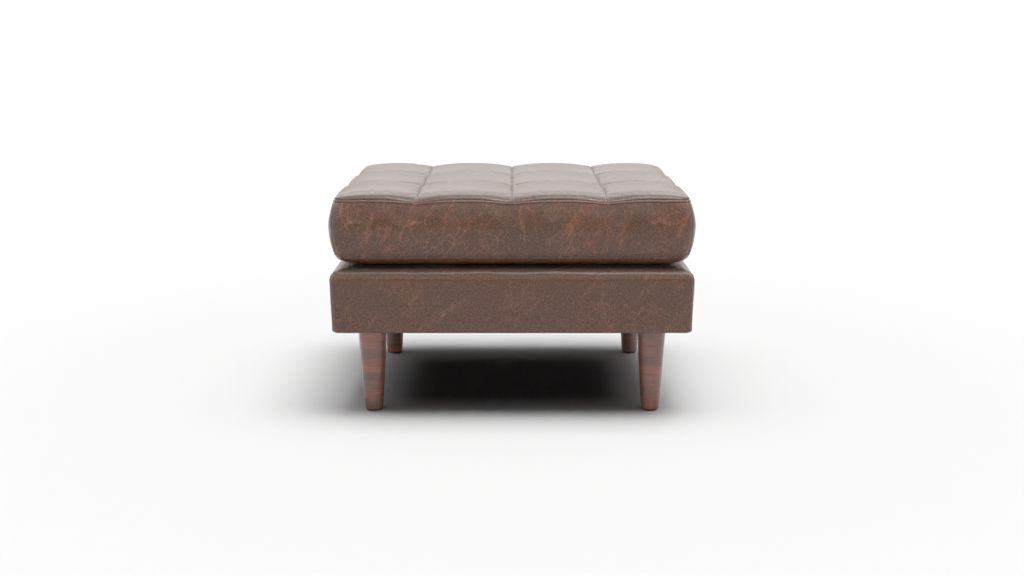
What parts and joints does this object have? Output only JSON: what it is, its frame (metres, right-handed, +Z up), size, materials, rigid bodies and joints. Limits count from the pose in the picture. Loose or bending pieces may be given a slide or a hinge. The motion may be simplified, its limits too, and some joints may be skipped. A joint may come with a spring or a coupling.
{
  "type": "ottoman coffee table",
  "caption": "Low upholstered leather ottoman table: a biscuit-tufted loose cushion on a padded box with round tapered wooden legs; a seat, footrest or coffee table.",
  "frame": {"origin": "on the floor under the middle of the table", "axes": "+X to the right along the longer side, +Y to the back, +Z up; the front faces -Y and the zip is in the rear side of the cushion"},
  "size_m": [0.732, 0.6192, 0.4637],
  "materials": {
    "leather": "satin",
    "leg_wood": "satin",
    "frame_wood": "matte",
    "glide_plastic": "matte",
    "fixing_steel": "satin",
    "webbing": "matte",
    "foam": "matte",
    "grip_tape": "matte",
    "lining_cloth": "matte",
    "zip_cloth": "matte",
    "zip_metal": "satin"
  },
  "bodies": {
    "base": {"base_front_panel": "leather", "base_left_panel": "leather", "base_rear_panel": "leather", "base_right_panel": "leather", "block_screws": "fixing_steel", "centre_rail": "frame_wood", "corner_block_front_left": "frame_wood", "corner_block_front_right": "frame_wood", "corner_block_rear_left": "frame_wood", "corner_block_rear_right": "frame_wood", "crosswise_webbing": "webbing", "deck_pad": "foam", "dust_cover": "lining_cloth", "frame_dowels": "frame_wood", "front_rail": "frame_wood", "glide_front_left": "glide_plastic", "glide_front_right": "glide_plastic", "glide_rear_left": "glide_plastic", "glide_rear_right": "glide_plastic", "hanger_bolts": "fixing_steel", "hook_strips": "grip_tape", "left_rail": "frame_wood", "leg_front_left": "leg_wood", "leg_front_right": "leg_wood", "leg_rear_left": "leg_wood", "leg_rear_right": "leg_wood", "lengthwise_webbing": "webbing", "platform_panel": "lining_cloth", "rear_rail": "frame_wood", "right_rail": "frame_wood", "side_padding": "foam", "tee_nuts": "fixing_steel"},
    "cushion": {"crown_pad": "foam", "cushion_bottom_panel": "leather", "cushion_core": "foam", "cushion_front_boxing": "leather", "cushion_left_boxing": "leather", "cushion_rear_boxing": "leather", "cushion_right_boxing": "leather", "cushion_top_panel": "leather", "loop_strips": "grip_tape", "zip_chain": "zip_metal", "zip_tape": "zip_cloth"},
    "zip_slider": {"zip_slider": "zip_metal"},
    "zip_pull": {"zip_pull": "zip_metal"}
  },
  "joints": [
    {"name": "cushion_lift", "type": "slide", "parent": "base", "child": "cushion", "axis": [0, 0, 1], "range_m": [0, 0.2]},
    {"name": "zip_slide", "type": "slide", "parent": "cushion", "child": "zip_slider", "axis": [1, 0, 0], "range_m": [0, 0.5495]},
    {"name": "pull_hinge", "type": "hinge", "parent": "zip_slider", "child": "zip_pull", "pos_m": [-0.27475, 0.307, 0.3883], "axis": [0, 0, -1], "range_deg": [0, 180]}
  ]
}
